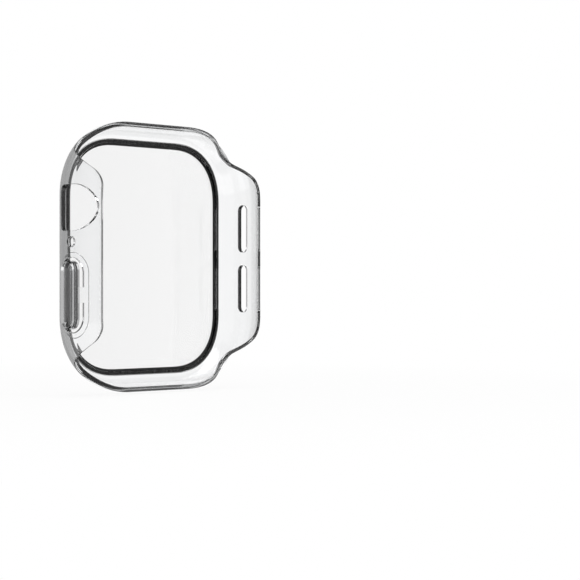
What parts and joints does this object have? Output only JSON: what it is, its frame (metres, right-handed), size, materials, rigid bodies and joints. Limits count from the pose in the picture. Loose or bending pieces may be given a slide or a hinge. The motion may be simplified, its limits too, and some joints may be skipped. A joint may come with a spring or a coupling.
{
  "type": "smartwatch bumper case",
  "caption": "Clear hard bumper case that clips round a rounded rectangular smartwatch, with a bonded front lens in a black border, a crown opening and a hinged side button.",
  "frame": {"origin": "centre of the lens's inner face, where the device's display glass rests", "axes": "+X across the width to the crown side, +Y along the depth out of the open back, +Z along the height to the 12 o'clock end"},
  "size_m": [0.0422, 0.0116, 0.0486],
  "materials": {
    "clear_polycarbonate": "polished clear moulding",
    "lens_glass": "polished tempered glass",
    "black_print": "opaque satin ink",
    "clear_adhesive": "clear double-sided adhesive"
  },
  "bodies": {
    "case": {"bumper_frame": "clear_polycarbonate", "lens": "lens_glass", "lens_border": "black_print", "lens_bond": "clear_adhesive"},
    "button": {"side_button": "clear_polycarbonate"}
  },
  "joints": [
    {"name": "side_button_press", "type": "hinge", "parent": "case", "child": "button", "pos_m": [0.0202, 0.0074, -0.0068], "axis": [0, 0, -1], "range_deg": [0, 8], "stiffness_Nm_per_rad": 0.03}
  ]
}
